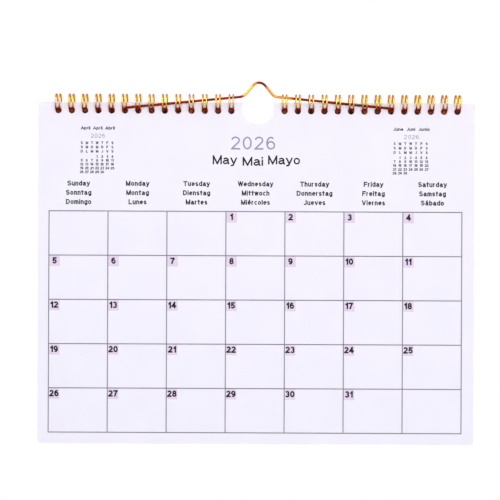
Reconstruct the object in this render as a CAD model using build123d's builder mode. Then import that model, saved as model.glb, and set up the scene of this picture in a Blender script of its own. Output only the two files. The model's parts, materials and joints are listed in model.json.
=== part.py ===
"""Wall calendar: a landscape page block on two wire combs, hung from one wire hanger.

Millimetres. X runs to the reader's right, Z up, and the reader looks along +Y at the front page.
The origin is the nail seat, the middle of the wire's underside at the top of the hanger's hump.
"""

import os
from math import asin, atan2, cos, pi, sin, sqrt, tan

from build123d import *

os.makedirs("parts", exist_ok=True)

# Leaves, all bound as one block
page_width = 277.0
page_height = 217.0
block_thickness = 2.1
lower_corner_radius = 2.5
upper_corner_radius = 0.8

# Punching along the top edge, three holes to the inch
hole_pitch = 8.467
hole_diameter = 4.4
hole_to_edge = 5.1
least_side_margin = 8.0
pitches_between_combs = 4
punch_offset = 0.8

# Thumb cut, a round bite out of the top edge between the combs
thumb_cut_radius = 10.8
thumb_cut_drop = 3.3

# Double-loop wire combs
ring_diameter = 11.1
ring_wire = 1.0
strand_spacing = 2.4
link_bend_radius = 1.6
seam_clearance = 0.5
seam_gap = 1.8

# Flats of a hole, a strand's section, its ring, its finger tip and its link bend: few, because all of them repeat
hole_sides = 12
section_sides = 6
ring_sides = 12
tip_sides = 4
bend_sides = 2

# Wire hanger, loose inside the loops
hanger_wire = 1.5
hanger_to_page = 0.2
hanger_to_ring = 0.1
hanger_shift = 0.6
loops_on_arm = 9
arm_overhang = 1.0
hump_half_width = 9.7
hump_height = 8.9
hump_bend_radius = 5.0
left_foot_radius = 7.0
right_foot_radius = 4.0

# Printed grid of the front page: seven days across, five weeks down
print_thickness = 0.05
days_in_week = 7
weeks_on_page = 5
day_width = 37.54
week_height = 28.17
line_width = 0.6
grid_left_margin = 6.6
grid_top_margin = 69.3

# Lilac date fields, one in the corner of each dated cell
field_side = 6.7
first_weekday = 3
days_in_month = 31

# Each comb has as many loops as fit between the thumb cut and the page's side
inner_loop_x = hole_pitch * pitches_between_combs / 2
outer_loop_reach = page_width / 2 - punch_offset - least_side_margin
loops_per_comb = int((outer_loop_reach - inner_loop_x) / hole_pitch) + 1

# Ring path: its centreline, what is clear inside its flats, and where the seam behind the block lies
ring_radius = (ring_diameter - ring_wire) / 2
tip_angle = asin((block_thickness + seam_clearance + ring_wire / 2) / ring_radius)
root_angle = tip_angle + (strand_spacing / 2 + seam_gap) / ring_radius
ring_sweep = 2 * pi + tip_angle - root_angle
ring_bore = ring_radius * cos(ring_sweep / ring_sides / 2) - ring_wire / 2

# The hanger stands at y = 0, and the front page's face passes through the ring axis behind it
front_y = hanger_to_page + hanger_wire / 2
front_plane = Plane.XZ.offset(-front_y)

# Hanger line: each arm slopes from the top of its innermost loop to the bottom of its outermost one
arm_rise = sqrt((ring_bore - hanger_to_ring - hanger_wire / 2) ** 2 - front_y**2)
arm_top_x = inner_loop_x - strand_spacing / 2 - ring_wire / 2 - hanger_shift
arm_end_x = inner_loop_x + hole_pitch * (loops_on_arm - 1) + arm_overhang
arm_slope = 2 * arm_rise / (arm_end_x - arm_top_x)
foot_rise = arm_rise + (arm_top_x - hump_half_width) * arm_slope
apex_rise = foot_rise + hump_height

# Hump flanks: both leave the feet at the angle that just touches the bend over the nail
bend_centre_height = hump_height - hump_bend_radius
foot_to_bend = sqrt(hump_half_width**2 + bend_centre_height**2)
flank_angle = atan2(bend_centre_height, hump_half_width) + asin(hump_bend_radius / foot_to_bend)
apex_corner_rise = foot_rise + hump_half_width * tan(flank_angle)

# Places in the origin's frame: ring axis, middle of the combs, page edges and hole line
axis_z = hanger_wire / 2 - apex_rise
comb_middle_x = -hanger_shift
page_middle_x = comb_middle_x - punch_offset
hole_z = axis_z - sqrt(ring_radius**2 - (block_thickness / 2) ** 2)
page_top = hole_z + hole_to_edge
page_bottom = page_top - page_height
page_left = page_middle_x - page_width / 2
hole_xs = [
    comb_middle_x + side * (inner_loop_x + loop * hole_pitch)
    for side in (-1, 1)
    for loop in range(loops_per_comb)
]


def on_ring(x, angle, along=0):
    """The point of the ring's centreline at an angle behind its lowest point, moved along the tangent there."""
    y = ring_radius * sin(angle) + along * cos(angle)
    z = -ring_radius * cos(angle) + along * sin(angle)
    return (x, front_y + y, axis_z + z)


def bend(x, angle, radius, turns, onward=1):
    """A flatted bend in the tangent plane at an angle, about a centre at x: turns are shares of a half turn."""
    return [on_ring(x - radius * cos(pi * t), angle, onward * radius * sin(pi * t)) for t in turns]


def strand(x):
    """One turn of wire from its root, over the top and round the front to its finger tip."""
    return [on_ring(x, root_angle + ring_sweep * side / ring_sides) for side in range(ring_sides + 1)]


def comb_line(first_x):
    """The whole bent wire of one comb: loop after loop on one row of links, cut half a link past each end."""
    half = strand_spacing / 2
    tip_turns = [side / tip_sides for side in range(1, tip_sides)]
    leave_turns = [side / bend_sides / 2 for side in range(1, bend_sides + 1)]
    arrive_turns = [1 - turn for turn in leave_turns[::-1]]
    points = [on_ring(first_x - hole_pitch / 2, root_angle, -link_bend_radius)]
    for loop in range(loops_per_comb):
        x = first_x + loop * hole_pitch
        points += bend(x - half - link_bend_radius, root_angle, link_bend_radius, arrive_turns, -1)
        points += strand(x - half) + bend(x, tip_angle, half, tip_turns) + strand(x + half)[::-1]
        points += bend(x + half + link_bend_radius, root_angle, link_bend_radius, leave_turns, -1)
    points.append(on_ring(x + hole_pitch / 2, root_angle, -link_bend_radius))
    return points


def binding_wire(first_x):
    line = comb_line(first_x)
    with BuildPart() as comb:
        with BuildLine():
            wire = Polyline(*line)
        with BuildSketch(Plane(origin=wire @ 0, z_dir=wire % 0)):
            RegularPolygon(radius=ring_wire / 2, side_count=section_sides)
        sweep(transition=Transition.RIGHT)
    return comb.part


# Leaves: one block with the punched row and the thumb cut
with BuildPart() as leaf_block:
    with BuildSketch(front_plane):
        with Locations((page_middle_x, (page_top + page_bottom) / 2)):
            page = Rectangle(page_width, page_height)
        fillet(page.vertices().group_by(Axis.Z)[0], radius=lower_corner_radius)
        fillet(page.vertices().group_by(Axis.Z)[-1], radius=upper_corner_radius)
        with Locations(*[(x, hole_z) for x in hole_xs]):
            RegularPolygon(hole_diameter / 2, hole_sides, major_radius=False, mode=Mode.SUBTRACT)
        with Locations((comb_middle_x, page_top - thumb_cut_drop)):
            Circle(thumb_cut_radius, mode=Mode.SUBTRACT)
    extrude(amount=-block_thickness)
leaf_block.part.label = "leaf_block"

# Printed grid: one lattice of ruled lines on the front page
grid_width = days_in_week * day_width
grid_height = weeks_on_page * week_height
grid_left = page_left + grid_left_margin
grid_top = page_top - grid_top_margin
with BuildPart() as printed_grid:
    with BuildSketch(front_plane):
        with Locations((grid_left + grid_width / 2, grid_top - grid_height / 2)):
            Rectangle(grid_width + line_width, grid_height + line_width)
            with GridLocations(day_width, week_height, days_in_week, weeks_on_page):
                Rectangle(day_width - line_width, week_height - line_width, mode=Mode.SUBTRACT)
    extrude(amount=print_thickness)
printed_grid.part.label = "printed_grid"

# Date fields: a lilac square in the upper left corner of each dated cell
field_places = []
for day in range(first_weekday, first_weekday + days_in_month):
    week, weekday = divmod(day, days_in_week)
    field_x = grid_left + weekday * day_width + (line_width + field_side) / 2
    field_places.append((field_x, grid_top - week * week_height - (line_width + field_side) / 2))
with BuildPart() as date_fields:
    with BuildSketch(front_plane):
        with Locations(*field_places):
            Rectangle(field_side, field_side)
    extrude(amount=print_thickness)
date_fields.part.label = "date_fields"

# Hanger wire: two straight arms inside the loops and a hump for the nail between them
arm_end_z = axis_z - arm_rise
foot_z = axis_z + foot_rise
with BuildPart() as hanger_wire_piece:
    with BuildLine(Plane.XZ):
        route = FilletPolyline(
            (-arm_end_x, arm_end_z),
            (-hump_half_width, foot_z),
            (0, axis_z + apex_corner_rise),
            (hump_half_width, foot_z),
            (arm_end_x, arm_end_z),
            radius=[left_foot_radius, hump_bend_radius, right_foot_radius],
        )
    with BuildSketch(Plane(origin=route @ 0, z_dir=route % 0)):
        Circle(hanger_wire / 2)
    sweep()
hanger_wire_piece.part.label = "hanger_wire"

left_binding_wire = binding_wire(hole_xs[loops_per_comb - 1])
left_binding_wire.label = "left_binding_wire"
right_binding_wire = binding_wire(hole_xs[loops_per_comb])
right_binding_wire.label = "right_binding_wire"

for piece in (
    leaf_block.part,
    printed_grid.part,
    date_fields.part,
    hanger_wire_piece.part,
    left_binding_wire,
    right_binding_wire,
):
    export_step(piece, f"parts/{piece.label}.step")
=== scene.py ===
"""Wall calendar: a landscape month page on two gold wire combs, with its hanger, in a white studio."""

import json
import math

import bmesh
import bpy
from mathutils import Matrix, Vector


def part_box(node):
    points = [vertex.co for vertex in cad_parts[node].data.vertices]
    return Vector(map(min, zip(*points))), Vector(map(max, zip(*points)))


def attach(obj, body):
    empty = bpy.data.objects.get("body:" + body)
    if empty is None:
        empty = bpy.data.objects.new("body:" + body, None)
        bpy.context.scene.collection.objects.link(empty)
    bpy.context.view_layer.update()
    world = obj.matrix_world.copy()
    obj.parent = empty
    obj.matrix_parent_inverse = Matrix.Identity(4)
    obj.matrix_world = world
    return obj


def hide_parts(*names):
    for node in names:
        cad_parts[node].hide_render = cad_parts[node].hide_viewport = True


MM = 0.001

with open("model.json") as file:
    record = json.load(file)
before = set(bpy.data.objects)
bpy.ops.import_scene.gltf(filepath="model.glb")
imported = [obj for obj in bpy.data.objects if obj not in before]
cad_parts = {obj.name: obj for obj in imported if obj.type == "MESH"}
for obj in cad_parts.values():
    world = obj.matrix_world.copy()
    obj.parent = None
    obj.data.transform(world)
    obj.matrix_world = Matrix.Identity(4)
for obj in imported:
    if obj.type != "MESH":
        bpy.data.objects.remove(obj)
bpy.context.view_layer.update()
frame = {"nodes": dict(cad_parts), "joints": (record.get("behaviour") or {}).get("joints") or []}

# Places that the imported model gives
leaf_low, leaf_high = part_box("leaf_block")
grid_low, grid_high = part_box("printed_grid")
left_low, left_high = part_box("left_binding_wire")
right_low, right_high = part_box("right_binding_wire")
joints = {joint["name"]: joint for joint in frame["joints"]}
_, axis_y, axis_z = joints["left_binding_turn"]["pos_m"]
_, _, hole_z = joints["leaves_swing"]["pos_m"]
comb_middle = (left_high[0] + right_low[0]) / 2
page_front = leaf_low[1]
page_top = leaf_high[2]
page_bottom = leaf_low[2]

# Combs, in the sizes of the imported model
LOOPS = 14
PITCH = 8.467 * MM
FIRST_LOOP = 2 * PITCH
RING_RADIUS = 5.05 * MM
RING_WIRE = 1.0 * MM
STRAND_HALF = 1.2 * MM
LINK_BEND = 1.6 * MM
SEAM_CLEARANCE = 0.5 * MM
SEAM_GAP = 1.8 * MM
WELD_REACH = 0.02 * MM

# Steps of a strand round its ring, of a link's bend, of a finger tip, and sides of the wire
STRAND_STEPS = 44
BEND_STEPS = 6
TIP_STEPS = 12
WIRE_SIDES = 12

# Leaves: their count, how much of its place one fills, how far it slips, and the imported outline's sizes
MONTH_LEAVES = 12
LEAF_SHARE = 0.9
LEAF_SLIP = 0.22 * MM
HOLE_RADIUS = 2.2 * MM
CUT_RADIUS = 10.8 * MM
CUT_DROP = 3.3 * MM
LOWER_CORNER = 2.5 * MM
UPPER_CORNER = 0.8 * MM

# Steps of a leaf's curves
HOLE_SIDES = 24
CUT_STEPS = 48
LOWER_CORNER_STEPS = 8
UPPER_CORNER_STEPS = 4

# How far the painted light and shade wander up and down the wire, and over what length, in millimetres
PAINTED_TONE_RUN = 0.8
PAINTED_TONE_PATCH = 2.5

# Calendar rule of the page, and its ruled lines
LINE_WIDTH = 0.6 * MM
DAYS = 7
WEEKS = 5
FIRST_WEEKDAY = 3
DAYS_IN_MONTH = 31


# Colour and material helpers

def linear(code):
    """An sRGB hex colour as linear red, green, blue and alpha."""
    channels = [int(code[i : i + 2], 16) / 255 for i in (1, 3, 5)]
    return [c / 12.92 if c <= 0.04045 else ((c + 0.055) / 1.055) ** 2.4 for c in channels] + [1.0]


def node(tree, kind, links=None, **settings):
    """A new node: settings are its properties or its input values, links its inputs' sources."""
    made = tree.nodes.new(kind)
    for key, value in settings.items():
        if key in made.bl_rna.properties:
            setattr(made, key, value)
    for key, value in settings.items():
        if key not in made.bl_rna.properties:
            made.inputs[key.replace("_", " ")].default_value = value
    for key, source in (links or {}).items():
        tree.links.new(source, made.inputs[key])
    return made


def emptied(owner):
    """The emptied node tree of a material or a world."""
    owner.use_nodes = True
    owner.node_tree.nodes.clear()
    return owner.node_tree


def place_in_mm(tree):
    """The object's own coordinates in millimetres."""
    place = node(tree, "ShaderNodeTexCoord")
    scaled = node(tree, "ShaderNodeMapping", {"Vector": place.outputs["Object"]})
    scaled.inputs["Scale"].default_value = (1 / MM, 1 / MM, 1 / MM)
    return scaled.outputs["Vector"]


def material(name):
    """An empty material with its Principled shader and the place on the object in millimetres."""
    made = bpy.data.materials.new(name)
    tree = emptied(made)
    shader = node(tree, "ShaderNodeBsdfPrincipled")
    node(tree, "ShaderNodeOutputMaterial", {"Surface": shader.outputs["BSDF"]})
    return made, tree, shader, place_in_mm(tree)


def two_tones(tree, vector, size_mm, dark, light, detail=3.0, low=0.35, high=0.65):
    """Two colours in soft patches of a size."""
    noise = node(tree, "ShaderNodeTexNoise", {"Vector": vector}, Scale=1 / size_mm, Detail=detail)
    ramp = node(tree, "ShaderNodeValToRGB", {"Fac": noise.outputs["Fac"]})
    ramp.color_ramp.elements[0].position = low
    ramp.color_ramp.elements[0].color = linear(dark)
    ramp.color_ramp.elements[1].position = high
    ramp.color_ramp.elements[1].color = linear(light)
    return ramp.outputs["Color"]


def grain(tree, vector, shader, size_mm, height_mm, detail=4.0):
    """A fine bump on the shader's normal."""
    noise = node(tree, "ShaderNodeTexNoise", {"Vector": vector}, Scale=1 / size_mm, Detail=detail)
    bump = node(tree, "ShaderNodeBump", {"Height": noise.outputs["Fac"]}, Distance=height_mm * MM)
    bump.inputs["Strength"].default_value = 1.0
    tree.links.new(bump.outputs["Normal"], shader.inputs["Normal"])


def paper(name, dark, light):
    """Uncoated wood-free paper: matt, with a faint cloudy formation and a fine tooth."""
    made, tree, shader, vector = material(name)
    tree.links.new(two_tones(tree, vector, 22.0, dark, light), shader.inputs["Base Color"])
    grain(tree, vector, shader, 0.8, 0.012)
    shader.inputs["Roughness"].default_value = 0.72
    shader.inputs["Specular IOR Level"].default_value = 0.35
    return made


def ink(name, dark, light):
    """Offset ink on uncoated paper: matt, a little uneven where the paper's tooth takes less of it."""
    made, tree, shader, vector = material(name)
    tone = two_tones(tree, vector, 0.7, dark, light, low=0.3, high=0.7)
    tree.links.new(tone, shader.inputs["Base Color"])
    grain(tree, vector, shader, 0.8, 0.01)
    shader.inputs["Roughness"].default_value = 0.6
    shader.inputs["Specular IOR Level"].default_value = 0.3
    return made


def gold_wire(name, tones, roughness, edge, lean=0.0):
    """Steel wire under gold lacquer, with light and shade painted in by height: a painted highlight of
    bright yellow on its upper bends, and painted shade of copper red to near black low down.

    Tones are pairs of a height above the ring axis in millimetres and a colour there, and edge is the tint
    of what the wire mirrors along its sides. With a lean the heights rise towards the reader's right, so
    that the painted light differs from one side to the other.
    """
    made, tree, shader, vector = material(name)
    split = node(tree, "ShaderNodeSeparateXYZ", {"Vector": vector})
    cloud = node(tree, "ShaderNodeTexNoise", {"Vector": vector}, Scale=1 / PAINTED_TONE_PATCH, Detail=3.0)
    low, high = tones[0][0], tones[-1][0]
    wander = node(
        tree,
        "ShaderNodeMapRange",
        {"Value": cloud.outputs["Fac"]},
        To_Min=-PAINTED_TONE_RUN,
        To_Max=PAINTED_TONE_RUN,
    )
    rise = node(
        tree,
        "ShaderNodeMath",
        {0: split.outputs["X"], 2: split.outputs["Z"]},
        operation="MULTIPLY_ADD",
    )
    rise.inputs[1].default_value = lean
    parts = {0: rise.outputs[0], 1: wander.outputs["Result"]}
    height = node(tree, "ShaderNodeMath", parts, operation="ADD")
    # The colour follows the height: the gold's own hue, with light and shade painted in from top to bottom
    share = node(
        tree,
        "ShaderNodeMapRange",
        {"Value": height.outputs[0]},
        From_Min=axis_z / MM + low,
        From_Max=axis_z / MM + high,
    )
    ramp = node(tree, "ShaderNodeValToRGB", {"Fac": share.outputs["Result"]})
    while len(ramp.color_ramp.elements) < len(tones):
        ramp.color_ramp.elements.new(0.5)
    for element, (at, colour) in zip(ramp.color_ramp.elements, tones):
        element.position = (at - low) / (high - low)
        element.color = linear(colour)
    tree.links.new(ramp.outputs["Color"], shader.inputs["Base Color"])
    grain(tree, vector, shader, 0.25, 0.004)
    shader.inputs["Metallic"].default_value = 1.0
    shader.inputs["Roughness"].default_value = roughness
    shader.inputs["Specular Tint"].default_value = linear(edge)
    return made


front_paper = paper("front_page_paper", "#F2F0F9", "#F4F2FB")
inner_paper = paper("inner_leaf_paper", "#ECEAF3", "#F2F1F8")
backing_board = paper("backing_board", "#D9D7DD", "#E3E1E7")
rule_ink = ink("grey_rule_ink", "#6F6C72", "#807D83")
field_ink = ink("lilac_field_ink", "#E1D3E8", "#E8DAED")
date_ink = ink("dark_date_ink", "#0E0A12", "#19141E")
title_ink = ink("dark_title_ink", "#0A070C", "#151118")
weekday_ink = ink("dark_weekday_ink", "#141116", "#211D25")
year_ink = ink("lavender_year_ink", "#A08FB6", "#AE9FC1")
small_ink = ink("small_grey_ink", "#2F2A35", "#3F3A45")
# The comb's tones by height are painted light and shade: a yellow highlight on the upper bends, and copper
# red to near black shade down towards the holes
comb_gold_and_painted_light = gold_wire(
    "gold_comb_lacquer_and_painted_light",
    (
        (-5.5, "#4A120A"),
        (-3.4, "#8A2C0C"),
        (-2.0, "#DC9A30"),
        (-0.2, "#F0C250"),
        (2.4, "#F4C850"),
        (5.5, "#F6C658"),
    ),
    0.2,
    "#E89A48",
)
# The hanger's tones by height and side are painted light and shade on its red-gold lacquer: a yellow
# highlight on the left flank, orange on the right, darker on the arms and the top
hanger_gold_and_painted_light = gold_wire(
    "gold_hanger_lacquer_and_painted_light",
    (
        (-0.9, "#781202"),
        (0.3, "#ECA226"),
        (8.0, "#ECA226"),
        (9.0, "#CC741A"),
        (11.4, "#CC741A"),
        (12.4, "#6A1000"),
    ),
    0.22,
    "#8A1E08",
    lean=0.45,
)


# Mesh helpers

def link(obj):
    bpy.context.scene.collection.objects.link(obj)
    return obj


def solid_mesh(obj):
    """The evaluated shape of an object as a plain mesh."""
    bpy.context.view_layer.update()
    seen = obj.evaluated_get(bpy.context.evaluated_depsgraph_get())
    return bpy.data.meshes.new_from_object(seen)


def piece(name, mesh, materials, body):
    """A finished piece of the calendar, riding on its body."""
    mesh.name = name
    mesh.materials.clear()
    for made in materials:
        mesh.materials.append(made)
    obj = link(bpy.data.objects.new(name, mesh))
    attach(obj, body)
    return obj


def smooth(mesh):
    mesh.polygons.foreach_set("use_smooth", [True] * len(mesh.polygons))


def oval(x, z, across, up, start=0, end=360, steps=None):
    """Points of a curve on an oval in the page's plane, angles in degrees from +X towards +Z."""
    steps = steps or max(3, round(abs(end - start) / 30))
    turns = [math.radians(start + (end - start) * k / steps) for k in range(steps + 1)]
    return [(x + across * math.cos(t), z + up * math.sin(t)) for t in turns]


def sized_tree(name, sizes):
    """A geometry nodes tree with named sizes, one shape in and one out, and the node that gives them."""
    tree = bpy.data.node_groups.new(name, "GeometryNodeTree")
    tree.interface.new_socket("Geometry", in_out="INPUT", socket_type="NodeSocketGeometry")
    for size, value in sizes.items():
        kind = "NodeSocketInt" if isinstance(value, int) else "NodeSocketFloat"
        tree.interface.new_socket(size, in_out="INPUT", socket_type=kind).default_value = value
    tree.interface.new_socket("Geometry", in_out="OUTPUT", socket_type="NodeSocketGeometry")
    return tree, node(tree, "NodeGroupInput")


# Leaves

def loop_xs():
    """Where the loops stand along the binding."""
    return [comb_middle + side * (FIRST_LOOP + k * PITCH) for side in (-1, 1) for k in range(LOOPS)]


def leaf_outline():
    """The leaf's edge: its top with the thumb cut, and its rounded lower corners."""
    left, right = leaf_low[0], leaf_high[0]
    mouth = math.degrees(math.asin(CUT_DROP / CUT_RADIUS))
    up, low, cut = UPPER_CORNER, LOWER_CORNER, CUT_RADIUS
    return (
        oval(left + up, page_top - up, up, up, 180, 90, UPPER_CORNER_STEPS)
        + oval(comb_middle, page_top - CUT_DROP, cut, cut, 180 - mouth, 360 + mouth, CUT_STEPS)
        + oval(right - up, page_top - up, up, up, 90, 0, UPPER_CORNER_STEPS)
        + oval(right - low, page_bottom + low, low, low, 0, -90, LOWER_CORNER_STEPS)
        + oval(left + low, page_bottom + low, low, low, 270, 180, LOWER_CORNER_STEPS)
    )


def leaf_mesh(thickness):
    """One leaf, front face down its -Y side, centred on y = 0."""
    curve = bpy.data.curves.new("leaf", "CURVE")
    curve.dimensions = "2D"
    curve.fill_mode = "BOTH"
    curve.extrude = thickness / 2
    last = 360 - 360 / HOLE_SIDES
    holes = [oval(x, hole_z, HOLE_RADIUS, HOLE_RADIUS, 0, last, HOLE_SIDES - 1) for x in loop_xs()]
    for ring in [leaf_outline()] + holes:
        spline = curve.splines.new("POLY")
        spline.points.add(len(ring) - 1)
        for point, (x, z) in zip(spline.points, ring):
            point.co = (x, z, 0, 1)
        spline.use_cyclic_u = True
    flat = link(bpy.data.objects.new("leaf", curve))
    mesh = solid_mesh(flat)
    bpy.data.objects.remove(flat)
    mesh.transform(Matrix.Rotation(math.pi / 2, 4, "X"))
    return mesh


def stack_tree(count, step, slip):
    """Geometry nodes: leaves one behind another, each slipped a little in its own plane."""
    tree, given = sized_tree("leaf_stack", {"Count": count, "Step": step, "Slip": slip})
    offset = node(tree, "ShaderNodeCombineXYZ", {"Y": given.outputs["Step"]})
    line = node(
        tree, "GeometryNodeMeshLine", {"Count": given.outputs["Count"], "Offset": offset.outputs[0]}
    )
    low = node(tree, "ShaderNodeMath", {0: given.outputs["Slip"]}, operation="MULTIPLY")
    low.inputs[1].default_value = -1
    least = node(tree, "ShaderNodeCombineXYZ", {"X": low.outputs[0], "Z": low.outputs[0]})
    most = node(tree, "ShaderNodeCombineXYZ", {"X": given.outputs["Slip"]})
    wander = node(
        tree,
        "FunctionNodeRandomValue",
        {"Min": least.outputs[0], "Max": most.outputs[0]},
        data_type="FLOAT_VECTOR",
        Seed=4,
    )
    placed = node(
        tree,
        "GeometryNodeSetPosition",
        {"Geometry": line.outputs["Mesh"], "Offset": wander.outputs["Value"]},
    )
    copies = node(
        tree,
        "GeometryNodeInstanceOnPoints",
        {"Points": placed.outputs["Geometry"], "Instance": given.outputs["Geometry"]},
    )
    real = node(tree, "GeometryNodeRealizeInstances", {"Geometry": copies.outputs["Instances"]})
    real_leaves = {"Geometry": real.outputs["Geometry"]}
    coat = node(tree, "GeometryNodeSetMaterial", real_leaves, Material=inner_paper)
    node(tree, "NodeGroupOutput", {"Geometry": coat.outputs["Geometry"]})
    return tree


def grown(name, mesh, tree):
    """The plain mesh that a geometry nodes tree makes of a starting mesh."""
    seed = link(bpy.data.objects.new(name, mesh))
    seed.modifiers.new(name, "NODES").node_group = tree
    made = solid_mesh(seed)
    bpy.data.objects.remove(seed)
    return made


def make_leaves():
    """The front page, the leaves behind it and the backing board, in the block's own space."""
    depth = leaf_high[1] - leaf_low[1]
    step = depth / (MONTH_LEAVES + 2)
    thickness = step * LEAF_SHARE
    front = leaf_mesh(thickness)
    front.transform(Matrix.Translation((0, page_front + thickness / 2, 0)))
    piece("front_page", front, [front_paper], "leaves")
    inner = leaf_mesh(thickness)
    inner.transform(Matrix.Translation((0, page_front + step + thickness / 2, 0)))
    stack = grown("inner_leaves", inner, stack_tree(MONTH_LEAVES - 1, step, LEAF_SLIP))
    piece("inner_leaves", stack, [inner_paper], "leaves")
    board = leaf_mesh(2 * thickness)
    board.transform(Matrix.Translation((0, leaf_high[1] - thickness, 0)))
    back = piece("backing_leaf", board, [backing_board], "leaves")
    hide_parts("leaf_block")


# Combs

def on_ring(x, angle, along=0.0):
    """A point of the ring's centreline at an angle behind its lowest one, moved along the tangent there."""
    y = RING_RADIUS * math.sin(angle) + along * math.cos(angle)
    z = -RING_RADIUS * math.cos(angle) + along * math.sin(angle)
    return (x, axis_y + y, axis_z + z)


def loop_line(x):
    """One loop of wire from the middle of one link to the middle of the next."""
    tip = math.asin((leaf_high[1] - leaf_low[1] + SEAM_CLEARANCE + RING_WIRE / 2) / RING_RADIUS)
    root = tip + (STRAND_HALF + SEAM_GAP) / RING_RADIUS
    sweep = 2 * math.pi + tip - root
    strand = [root + sweep * k / STRAND_STEPS for k in range(STRAND_STEPS + 1)]
    quarter = [math.pi / 2 * k / BEND_STEPS for k in range(BEND_STEPS)]
    bend = [
        on_ring(x - STRAND_HALF - LINK_BEND + LINK_BEND * math.sin(t), root, -LINK_BEND * math.cos(t))
        for t in quarter
    ]
    rise = bend + [on_ring(x - STRAND_HALF, angle) for angle in strand]
    half_turn = [math.pi * k / TIP_STEPS for k in range(1, TIP_STEPS)]
    finger = [on_ring(x - STRAND_HALF * math.cos(t), tip, STRAND_HALF * math.sin(t)) for t in half_turn]
    fall = [(2 * x - px, py, pz) for px, py, pz in rise[::-1]]
    start = on_ring(x - PITCH / 2, root, -LINK_BEND)
    end = (2 * x - start[0], start[1], start[2])
    return [start] + rise + finger + fall + [end]


def comb_tree(count, pitch, radius):
    """Geometry nodes: a bent wire line made round, repeated along the binding and welded to one wire."""
    sizes = {"Loops": count, "Pitch": pitch, "Wire radius": radius, "Sides": WIRE_SIDES}
    tree, given = sized_tree("wire_comb", sizes)
    line = node(tree, "GeometryNodeMeshToCurve", {"Mesh": given.outputs["Geometry"]})
    section = node(
        tree,
        "GeometryNodeCurvePrimitiveCircle",
        {"Resolution": given.outputs["Sides"], "Radius": given.outputs["Wire radius"]},
    )
    tube = node(
        tree,
        "GeometryNodeCurveToMesh",
        {"Curve": line.outputs["Curve"], "Profile Curve": section.outputs["Curve"]},
    )
    step = node(tree, "ShaderNodeCombineXYZ", {"X": given.outputs["Pitch"]})
    row = node(tree, "GeometryNodeMeshLine", {"Count": given.outputs["Loops"], "Offset": step.outputs[0]})
    copies = node(
        tree,
        "GeometryNodeInstanceOnPoints",
        {"Points": row.outputs["Mesh"], "Instance": tube.outputs["Mesh"]},
    )
    real = node(tree, "GeometryNodeRealizeInstances", {"Geometry": copies.outputs["Instances"]})
    loops = {"Geometry": real.outputs["Geometry"]}
    weld = node(tree, "GeometryNodeMergeByDistance", loops, Distance=WELD_REACH)
    coat = node(tree, "GeometryNodeSetMaterial", {"Geometry": weld.outputs["Geometry"]}, Material=comb_gold_and_painted_light)
    node(tree, "NodeGroupOutput", {"Geometry": coat.outputs["Geometry"]})
    return tree


def close_ends(mesh):
    """Fills the open ends of a tube and turns its faces outwards."""
    work = bmesh.new()
    work.from_mesh(mesh)
    bmesh.ops.holes_fill(work, edges=[edge for edge in work.edges if edge.is_boundary])
    bmesh.ops.recalc_face_normals(work, faces=work.faces)
    work.to_mesh(mesh)
    work.free()


def make_comb(name, first_x, body):
    """One comb of round wire, from its first loop on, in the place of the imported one."""
    points = loop_line(first_x)
    line = bpy.data.meshes.new(name)
    line.from_pydata(points, [(k, k + 1) for k in range(len(points) - 1)], [])
    mesh = grown(name, line, comb_tree(LOOPS, PITCH, RING_WIRE / 2))
    close_ends(mesh)
    smooth(mesh)
    made = piece(name, mesh, [comb_gold_and_painted_light], body)
    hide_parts(name.replace("comb", "binding_wire"))


# Print

# Height of the ink above what it is printed on
INK_HEIGHT = 0.02 * MM

# Each kind of print: its strokes' width and the clear gap between two letters, in cap heights
YEAR_PEN = (0.11, 0.14)
TITLE_PEN = (0.17, 0.04)
WEEKDAY_PEN = (0.22, 0.1)
DATE_PEN = (0.24, 0.06)
SMALL_PEN = (0.24, 0.03)
SMALL_YEAR_PEN = (0.12, 0.14)

# What a space adds to the gap, in cap heights
WORD_GAP = 0.7

# Headings: middles across from the combs' middle and down from the page's top, cap heights and widths
YEAR = "2026"
YEAR_ACROSS = -3.0 * MM
YEAR_DOWN = 25.65 * MM
YEAR_CAP = 8.3 * MM
YEAR_WIDTH = 28.1 * MM
TITLES = (("May", -20.95, 36.4, 15.5), ("Mai", -3.15, 37.3, 13.0), ("Mayo", 16.75, 36.4, 20.4))
TITLE_CAP = 5.67 * MM
WEEKDAY_DOWN = 51.65 * MM
WEEKDAY_ROW = 5.87 * MM
WEEKDAY_CAP = 3.2 * MM

# Date numerals: their middle's place in the cell, and their cap height
DATE_ACROSS = 3.6 * MM
DATE_DOWN = 3.4 * MM
DATE_CAP = 4.15 * MM

# Small month blocks: places across from the block's middle and down from the page's top, and cap heights
SMALL_TITLE_ACROSS = 0.4 * MM
SMALL_TITLE_DOWN = 16.5 * MM
SMALL_TITLE_CAP = 2.0 * MM
SMALL_YEAR_ACROSS = 0.5 * MM
SMALL_YEAR_DOWN = 21.4 * MM
SMALL_YEAR_CAP = 2.7 * MM
LAST_LETTERS_DOWN = 31.3 * MM
SMALL_DATES_DOWN = 34.6 * MM
SMALL_WEEK = 2.47 * MM
SMALL_CAP = 1.7 * MM

# Width of a small block's year, and height of its rows of letters, in its column steps
SMALL_YEAR_STEPS = 2.75
LETTER_ROW_STEPS = 0.83


def run(*points):
    """Straight strokes from point to point, each by itself so that its corners stay full."""
    return [list(pair) for pair in zip(points, points[1:])]


def arch(x, across=0.19):
    """The arch and leg of n, h and m."""
    top = oval(x + across, 0.48, across, 0.24, 180, 0)
    return [top] + run(top[-1], (x + 2 * across, 0))


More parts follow.
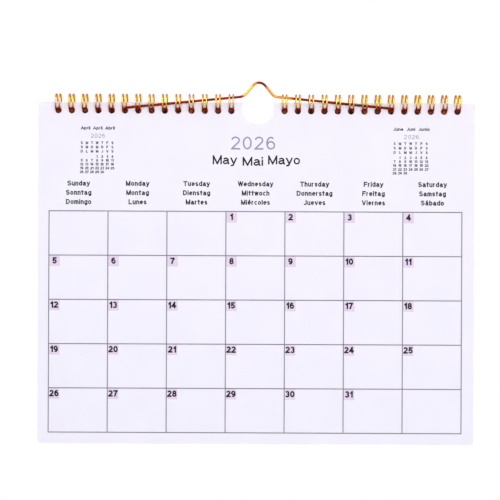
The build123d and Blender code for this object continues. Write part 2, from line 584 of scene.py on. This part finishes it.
BOWL = oval(0.22, 0.36, 0.22, 0.36)
STEM = run((0, 0.72), (0, 0))
BAR = run((0, 0.72), (0.28, 0.72))
ACCENT = run((0.16, 0.88), (0.28, 1.05))
TALL = run((0, 1), (0, 0))
SMALL_A = (
    [oval(0.21, 0.5, 0.19, 0.22, 160, 0)]
    + run((0.4, 0.5), (0.4, 0.1), (0.46, 0))
    + run((0.4, 0.43), (0.17, 0.38))
    + [oval(0.17, 0.19, 0.17, 0.19, 90, 280)]
    + run((0.2, 0), (0.4, 0.16))
)
SMALL_E = run((0.01, 0.37), (0.44, 0.37)) + [oval(0.22, 0.36, 0.22, 0.36, 0, 315)]

# Plain sans serif letters and numbers as strokes of a pen, on a line at 0 with capitals 1 high
GLYPHS = {
    "0": [oval(0.23, 0.5, 0.23, 0.5)],
    "1": run((0.06, 0.76), (0.25, 1), (0.25, 0)),
    "2": [oval(0.23, 0.73, 0.22, 0.27, 170, -35)] + run((0.41, 0.575), (0, 0), (0.46, 0)),
    "3": [oval(0.21, 0.76, 0.2, 0.24, 160, -90), oval(0.21, 0.26, 0.23, 0.26, 90, -160)],
    "4": run((0.5, 0.28), (0, 0.28), (0.35, 1), (0.35, 0)),
    "5": run((0.42, 1), (0.09, 1), (0.04, 0.5)) + [oval(0.22, 0.31, 0.23, 0.31, 145, -160)],
    "6": [oval(0.24, 0.5, 0.24, 0.5, 50, 200), oval(0.24, 0.31, 0.22, 0.31)],
    "7": run((0, 1), (0.45, 1), (0.26, 0.5), (0.15, 0)),
    "8": [oval(0.23, 0.76, 0.19, 0.24), oval(0.23, 0.26, 0.23, 0.26)],
    "9": [oval(0.22, 0.5, 0.24, 0.5, 230, 380), oval(0.22, 0.69, 0.22, 0.31)],
    "A": run((0, 0), (0.32, 1), (0.64, 0)) + run((0.11, 0.34), (0.53, 0.34)),
    "D": TALL + run((0, 1), (0.24, 1)) + [oval(0.24, 0.5, 0.34, 0.5, 90, -90)] + run((0.24, 0), (0, 0)),
    "F": TALL + run((0, 1), (0.5, 1)) + run((0, 0.5), (0.42, 0.5)),
    "J": run((0.4, 1), (0.4, 0.22)) + [oval(0.2, 0.22, 0.2, 0.22, 0, -170)],
    "L": TALL + run((0, 0), (0.48, 0)),
    "M": run((0, 0), (0, 1), (0.34, 0), (0.68, 1), (0.68, 0)),
    "S": [oval(0.28, 0.75, 0.26, 0.25, 20, 270), oval(0.28, 0.26, 0.28, 0.26, 90, -160)],
    "T": run((0, 1), (0.6, 1)) + run((0.3, 1), (0.3, 0)),
    "V": run((0, 1), (0.3, 0), (0.6, 1)),
    "W": run((0, 1), (0.21, 0), (0.42, 1), (0.63, 0), (0.84, 1)),
    "a": SMALL_A,
    "á": SMALL_A + ACCENT,
    "b": TALL + [BOWL],
    "c": [oval(0.22, 0.36, 0.22, 0.36, 45, 315)],
    "d": run((0.44, 1), (0.44, 0)) + [BOWL],
    "e": SMALL_E,
    "é": SMALL_E + ACCENT,
    "g": [BOWL, oval(0.22, -0.06, 0.22, 0.22, 0, -150)] + run((0.44, 0.72), (0.44, -0.06)),
    "h": TALL + arch(0),
    "i": run((0, 0.65), (0, 0)) + run((0, 0.97), (0, 1)),
    "l": TALL,
    "m": STEM + arch(0, 0.16) + arch(0.32, 0.16),
    "n": STEM + arch(0),
    "o": [BOWL],
    "p": run((0, 0.72), (0, -0.28)) + [BOWL],
    "r": STEM + [oval(0.2, 0.46, 0.2, 0.26, 180, 80)],
    "s": [oval(0.19, 0.54, 0.17, 0.18, 20, 270), oval(0.19, 0.18, 0.19, 0.18, 90, -160)],
    "t": run((0.12, 0.95), (0.12, 0.12)) + [oval(0.24, 0.12, 0.12, 0.12, 180, 290)] + BAR,
    "u": run((0, 0.72), (0, 0.22)) + [oval(0.2, 0.22, 0.2, 0.22, 180, 360)] + run((0.4, 0.72), (0.4, 0)),
    "v": run((0, 0.72), (0.23, 0), (0.46, 0.72)),
    "w": run((0, 0.72), (0.15, 0), (0.3, 0.72), (0.45, 0), (0.6, 0.72)),
    "y": run((0, 0.72), (0.23, 0)) + run((0.46, 0.72), (0.17, -0.22), (0.03, -0.26)),
}


def written(text, pen):
    """The strokes of a line of text, and where it begins and ends, in cap heights."""
    weight, gap = pen
    strokes, start = [], 0.0
    for letter in text:
        if letter == " ":
            start += WORD_GAP
            continue
        glyph = [[(start + x, z) for x, z in stroke] for stroke in GLYPHS[letter]]
        strokes += glyph
        start = max(x for stroke in glyph for x, z in stroke) + gap + weight
    xs = [x for stroke in strokes for x, z in stroke]
    return strokes, min(xs), max(xs)


def lettering(name, lines, made, pen, lift=0.0):
    """Words and numbers as thin ink on the page: each line is text, middle x, middle z, cap height, width.

    The pen is the strokes' width and their gap in cap heights, and lift raises the ink off the page.
    """
    curve = bpy.data.curves.new(name, "CURVE")
    curve.dimensions = "3D"
    curve.bevel_depth = 1.0
    curve.bevel_resolution = 0
    curve.use_fill_caps = True
    for text, middle, centre, height, width in lines:
        strokes, low, high = written(text, pen)
        thick = pen[0] * height
        wide = (width - thick) / (high - low) if width else height
        for stroke in strokes:
            places = [
                Vector((middle + (x - (low + high) / 2) * wide, centre + (z - 0.5) * (height - thick), 0))
                for x, z in stroke
            ]
            if len(places) == 2:
                end = (places[1] - places[0]).normalized() * thick / 2
                places = [places[0] - end, places[1] + end]
            spline = curve.splines.new("POLY")
            spline.points.add(len(places) - 1)
            for point, place in zip(spline.points, places):
                point.co = (*place, 1)
                point.radius = thick / 2
    drawn = link(bpy.data.objects.new(name, curve))
    mesh = solid_mesh(drawn)
    bpy.data.objects.remove(drawn)
    for vertex in mesh.vertices:
        vertex.co.z = max(-INK_HEIGHT / 2, min(INK_HEIGHT / 2, vertex.co.z))
    mesh.transform(Matrix.Rotation(math.pi / 2, 4, "X"))
    mesh.transform(Matrix.Translation((0, page_front - INK_HEIGHT / 2 - lift, 0)))
    return piece(name, mesh, [made], "leaves")


# Middles of the grid's outer lines, and a cell's size from line to line
grid_left = grid_low[0] + LINE_WIDTH / 2
grid_top = grid_high[2] - LINE_WIDTH / 2
day_width = (grid_high[0] - grid_low[0] - LINE_WIDTH) / DAYS
week_height = (grid_high[2] - grid_low[2] - LINE_WIDTH) / WEEKS


def month_days(first, days, place, height):
    """Numbers of a month at the places that a rule of row and column gives."""
    lines = []
    for day in range(1, days + 1):
        week, weekday = divmod(first + day - 1, DAYS)
        x, z = place(week, weekday)
        lines.append((str(day), x, z, height, None))
    return lines


def make_dates():
    """The date numerals, each on its lilac field."""

    def corner(week, weekday):
        return grid_left + weekday * day_width + DATE_ACROSS, grid_top - week * week_height - DATE_DOWN

    days = month_days(FIRST_WEEKDAY, DAYS_IN_MONTH, corner, DATE_CAP)
    lettering("date_numerals", days, date_ink, DATE_PEN, lift=page_front - grid_low[1])


WEEKDAYS = (
    ("Sunday", "Monday", "Tuesday", "Wednesday", "Thursday", "Friday", "Saturday"),
    ("Sonntag", "Montag", "Dienstag", "Mittwoch", "Donnerstag", "Freitag", "Samstag"),
    ("Domingo", "Lunes", "Martes", "Miércoles", "Jueves", "Viernes", "Sábado"),
)


def make_headings():
    """Year, month names and weekday names above the grid."""
    year = [(YEAR, comb_middle + YEAR_ACROSS, page_top - YEAR_DOWN, YEAR_CAP, YEAR_WIDTH)]
    lettering("year_numerals", year, year_ink, YEAR_PEN)
    title = [
        (word, comb_middle + across * MM, page_top - down * MM, TITLE_CAP, width * MM)
        for word, across, down, width in TITLES
    ]
    lettering("month_names", title, title_ink, TITLE_PEN)
    lines = []
    for row, names in enumerate(WEEKDAYS):
        for column, name in enumerate(names):
            x = grid_left + (column + 0.5) * day_width
            lines.append((name, x, page_top - WEEKDAY_DOWN - WEEKDAY_ROW * row, WEEKDAY_CAP, None))
    lettering("weekday_names", lines, weekday_ink, WEEKDAY_PEN)


def small_month(name, middle, step, title, title_width, first, days):
    """A small month block beside the heading: names, year, weekday letters and dates.

    Step is the way from one weekday to the next, and first the weekday of the month's first day, Sunday 0.
    """
    letters = [[name[0] for name in names] for names in WEEKDAYS]
    left = middle - step * (DAYS - 1) / 2
    title_z = page_top - SMALL_TITLE_DOWN
    lines = [(title, middle + SMALL_TITLE_ACROSS, title_z, SMALL_TITLE_CAP, title_width)]
    for row, line in enumerate(letters):
        z = page_top - LAST_LETTERS_DOWN + LETTER_ROW_STEPS * step * (len(letters) - 1 - row)
        for column, letter in enumerate(line):
            lines.append((letter, left + column * step, z, SMALL_CAP, None))

    def place(week, weekday):
        return left + weekday * step, page_top - SMALL_DATES_DOWN - SMALL_WEEK * week

    lines += month_days(first, days, place, SMALL_CAP)
    lettering(name + "_text", lines, small_ink, SMALL_PEN)
    year_z = page_top - SMALL_YEAR_DOWN
    year = [(YEAR, middle + SMALL_YEAR_ACROSS, year_z, SMALL_YEAR_CAP, SMALL_YEAR_STEPS * step)]
    lettering(name + "_year", year, year_ink, SMALL_YEAR_PEN)


def make_print():
    """The grid's and the fields' inks, and everything that is lettered on the front page."""
    for name, made in (("printed_grid", rule_ink), ("date_fields", field_ink)):
        mesh = frame["nodes"][name].data
        mesh.materials.clear()
        mesh.materials.append(made)
    make_dates()
    make_headings()
    small_month("last_month", comb_middle - 102.3 * MM, 3.25 * MM, "April April Abril", 21.6 * MM, 3, 30)
    small_month("next_month", comb_middle + 97.3 * MM, 3.4 * MM, "June Juni Junio", 23.4 * MM, 1, 30)


def make_hanger():
    """The lacquer of the wire hanger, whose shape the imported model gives."""
    mesh = frame["nodes"]["hanger_wire"].data
    mesh.materials.clear()
    mesh.materials.append(hanger_gold_and_painted_light)


# Studio

# The glowing sheet of painted shade behind the punched row: half its height, its gap to the combs, and how
# far leaves shade it
SHADE_HALF = 3.6 * MM
SHADE_GAP = 0.2 * MM
SHADE_REACH = 20 * MM

# The floor's half width, in metres, and how far it lies below the page
FLOOR_HALF = 3.0
FLOOR_DROP = 60 * MM

# The surround's near and far walls and its half width, in metres
SURROUND_NEAR = -0.4
SURROUND_FAR = 0.3
SURROUND_HALF = 1.5

# Camera: the photo's scale and width, its distance and aim in millimetres, and its roll in degrees
PX_PER_MM = 1.571
IMAGE_WIDTH = 500
SENSOR = 36.0
CAMERA_DISTANCE = 850.0
ROLL = -0.25
VIEW_X = -5.3
VIEW_DROP = 93.75


def make_camera():
    """The camera square before the page, turned a little as the photo is."""
    data = bpy.data.cameras.new("camera")
    data.sensor_width = SENSOR
    data.lens = PX_PER_MM * SENSOR * CAMERA_DISTANCE / IMAGE_WIDTH
    data.clip_end = 20
    camera = link(bpy.data.objects.new("camera", data))
    camera.location = (VIEW_X * MM, page_front - CAMERA_DISTANCE * MM, page_top - VIEW_DROP * MM)
    camera.rotation_euler = (math.pi / 2, math.radians(ROLL), 0)
    bpy.context.scene.camera = camera


def seen_rays(tree):
    """1 for rays from the camera, off a shiny surface or through a clear one."""
    path = node(tree, "ShaderNodeLightPath")
    seen = path.outputs["Is Camera Ray"]
    for kind in ("Is Glossy Ray", "Is Transmission Ray"):
        either = {0: seen, 1: path.outputs[kind]}
        seen = node(tree, "ShaderNodeMath", either, operation="MAXIMUM").outputs[0]
    return seen


def make_world():
    """White to the eye, and a soft plain fill on the object."""
    world = bpy.data.worlds.new("studio")
    bpy.context.scene.world = world
    tree = emptied(world)
    fill = node(tree, "ShaderNodeBackground", Color=linear("#F4F2F8"), Strength=0.58)
    white = node(tree, "ShaderNodeBackground", Color=(1, 1, 1, 1), Strength=1.0)
    mix = node(tree, "ShaderNodeMixShader", {0: seen_rays(tree), 1: fill.outputs[0], 2: white.outputs[0]})
    node(tree, "ShaderNodeOutputWorld", {"Surface": mix.outputs[0]})


def make_floor():
    """A pale floor below the hung calendar."""
    made = bpy.data.materials.new("pale_floor")
    tree = emptied(made)
    matt = node(tree, "ShaderNodeBsdfDiffuse", Color=linear("#F2F1F4"))
    glow = node(tree, "ShaderNodeEmission", Color=(1, 1, 1, 1), Strength=1.0)
    mix = node(tree, "ShaderNodeMixShader", {0: seen_rays(tree), 1: matt.outputs[0], 2: glow.outputs[0]})
    node(tree, "ShaderNodeOutputMaterial", {"Surface": mix.outputs[0]})
    half, z = FLOOR_HALF, page_bottom - FLOOR_DROP
    corners = [(-half, -half, z), (half, -half, z), (half, half, z), (-half, half, z)]
    mesh = bpy.data.meshes.new("floor")
    mesh.from_pydata(corners, [], [(0, 1, 2, 3)])
    mesh.materials.append(made)
    link(bpy.data.objects.new("floor", mesh))


def glow(name, colour):
    """A material that only shines, in one plain colour."""
    made = bpy.data.materials.new(name)
    tree = emptied(made)
    shown = node(tree, "ShaderNodeEmission", Color=linear(colour), Strength=1.0)
    node(tree, "ShaderNodeOutputMaterial", {"Surface": shown.outputs[0]})
    return made


def staged(name, points, faces, made):
    """A piece of the studio that gives the object no light and no shadow."""
    mesh = bpy.data.meshes.new(name)
    mesh.from_pydata(points, [], faces)
    mesh.materials.append(made)
    obj = link(bpy.data.objects.new(name, mesh))
    obj.visible_diffuse = False
    obj.visible_shadow = False
    return obj


def make_shade():
    """What the punched holes look onto: a glowing sheet in the place of the wall close behind, white, with
    painted shade where the leaves would keep the light off it.

    It is seen from the front alone, so the back stays open to view, and it stops short of the thumb cut.
    """
    made = glow("painted_shade_wall", "#FFFFFF")
    tree = made.node_tree
    # Painted shade: within reach of the leaves the glow turns from white to patches of near black and
    # lighter brown, the brown painted as light thrown off the gold wire
    near = node(tree, "ShaderNodeAmbientOcclusion", Distance=SHADE_REACH, samples=16)
    open_air = node(tree, "ShaderNodeMapRange", {"Value": near.outputs["AO"]}, From_Min=0.3, From_Max=0.5)
    tone = node(tree, "ShaderNodeMix", {"Factor": open_air.outputs["Result"]}, data_type="RGBA")
    dark = two_tones(tree, place_in_mm(tree), 2.6, "#2E0A04", "#8A4A34", low=0.42, high=0.66)
    tree.links.new(dark, tone.inputs["A"])
    tone.inputs["B"].default_value = (1, 1, 1, 1)
    shown = tree.nodes["Emission"]
    tree.links.new(tone.outputs["Result"], shown.inputs["Color"])
    clear = node(tree, "ShaderNodeBsdfTransparent")
    side = node(tree, "ShaderNodeNewGeometry")
    sides = {0: side.outputs["Backfacing"], 1: shown.outputs[0], 2: clear.outputs[0]}
    mix = node(tree, "ShaderNodeMixShader", sides)
    tree.links.new(mix.outputs[0], tree.nodes["Material Output"].inputs["Surface"])
    y = max(left_high[1], right_high[1]) + SHADE_GAP
    low, high = hole_z - SHADE_HALF, hole_z + SHADE_HALF
    points, faces = [], []
    for left, right in ((left_low[0], left_high[0]), (right_low[0], right_high[0])):
        faces.append([len(points) + corner for corner in range(4)])
        points += [(left, y, low), (right, y, low), (right, y, high), (left, y, high)]
    staged("shade", points, faces, made).visible_glossy = False


def make_surround():
    """Warm walls and a pale ceiling round the calendar, a tray that only the shiny wires mirror."""
    half = SURROUND_HALF
    corners = ((-half, -half), (half, -half), (half, half), (-half, half))
    points = [(x, y, z) for y in (SURROUND_NEAR, SURROUND_FAR) for x, z in corners]
    walls = [(4, 5, 6, 7), (0, 1, 5, 4), (1, 2, 6, 5), (3, 0, 4, 7)]
    for name, faces, colour in (("surround", walls, "#DDB48C"), ("ceiling", [(2, 3, 7, 6)], "#FFF0DC")):
        tray = staged(name, points, faces, glow(name + "_glow", colour))
        tray.visible_camera = False
        tray.visible_transmission = False


def lamp(name, place, aim, size, power, on_paper=True):
    """A rectangular lamp that faces a point: one that isn't on paper shows in the wires alone."""
    data = bpy.data.lights.new(name, "AREA")
    data.shape = "RECTANGLE"
    data.size, data.size_y = size
    data.energy = power
    made = link(bpy.data.objects.new(name, data))
    made.visible_diffuse = on_paper
    made.location = place
    made.rotation_euler = (Vector(aim) - Vector(place)).to_track_quat("-Z", "Y").to_euler()


def make_lamps():
    """A broad soft lamp before the page and one behind it, and two strips that only the wires mirror."""
    page, combs = (0, 0, -0.1), (0, 0, 0)
    lamp("key", (0.08, -1.6, 0.3), page, (0.9, 0.9), 12.4)
    lamp("back", (0, 1.6, 0.3), page, (0.9, 0.9), 9.0)
    lamp("left_strip", (-0.6, -0.35, 0.5), combs, (0.4, 0.15), 2.0, on_paper=False)
    lamp("right_strip", (0.6, -0.35, 0.5), combs, (0.3, 0.15), 0.8, on_paper=False)


make_camera()
make_leaves()
make_comb("left_comb", comb_middle - FIRST_LOOP - (LOOPS - 1) * PITCH, "left_binding")
make_comb("right_comb", comb_middle + FIRST_LOOP, "right_binding")
make_hanger()
make_print()
make_world()
make_floor()
make_shade()
make_surround()
make_lamps()

bpy.context.scene.view_settings.view_transform = "Standard"
